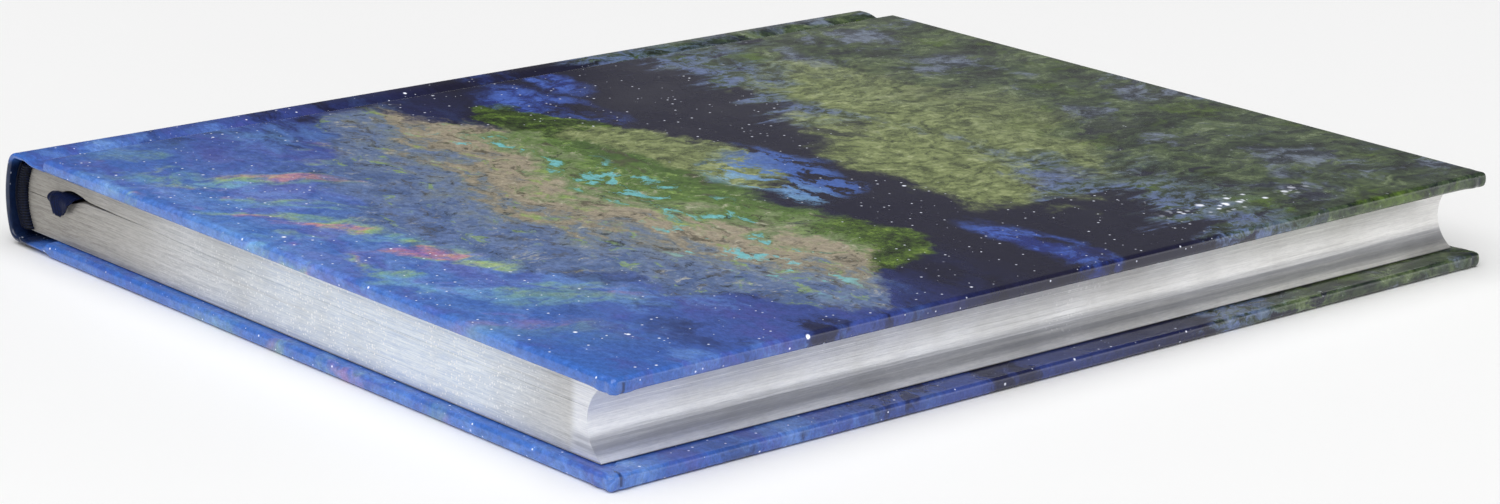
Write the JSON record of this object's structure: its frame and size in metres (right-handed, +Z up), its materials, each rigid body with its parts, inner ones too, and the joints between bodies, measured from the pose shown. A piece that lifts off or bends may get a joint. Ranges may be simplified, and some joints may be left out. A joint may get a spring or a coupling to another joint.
{
  "type": "hardcover notebook",
  "caption": "Closed case-bound notebook on its back cover: rounded spine, hinged covers with glossy night-sky print, silver page edges, ribbon marker.",
  "frame": {"origin": "middle of the bounding box at the outside of the back cover, where the notebook rests", "axes": "+X from the spine to the fore-edge, +Y from the tail (bottom edge) to the head, +Z up through the front cover"},
  "size_m": [0.1862, 0.2286, 0.0197],
  "materials": {
    "printed_cover": "glossy laminated printed paper",
    "greyboard": "bare grey board",
    "endpaper": "uncoated plain paper",
    "pages": "cream paper, cut edges with a silver gilt",
    "navy_cloth": "woven satin",
    "lining_cloth": "open-weave cotton with glue"
  },
  "bodies": {
    "text_block": {"page_block": "pages", "front_flyleaf": "endpaper", "back_flyleaf": "endpaper", "spine_lining": "lining_cloth", "head_band": "navy_cloth", "tail_band": "navy_cloth", "ribbon_marker": "navy_cloth", "spine_wrap": "printed_cover", "spine_card": "greyboard"},
    "front_cover": {"front_board": "greyboard", "front_wrap": "printed_cover", "front_pastedown": "endpaper"},
    "back_cover": {"back_board": "greyboard", "back_wrap": "printed_cover", "back_pastedown": "endpaper"}
  },
  "joints": [
    {"name": "front_cover_hinge", "type": "hinge", "parent": "text_block", "child": "front_cover", "pos_m": [-0.0814, 0, 0.0193], "axis": [0, -1, 0], "range_deg": [0, 180]},
    {"name": "back_cover_hinge", "type": "hinge", "parent": "text_block", "child": "back_cover", "pos_m": [-0.0814, 0, 0.0002], "axis": [0, 1, 0], "range_deg": [0, 180]}
  ]
}
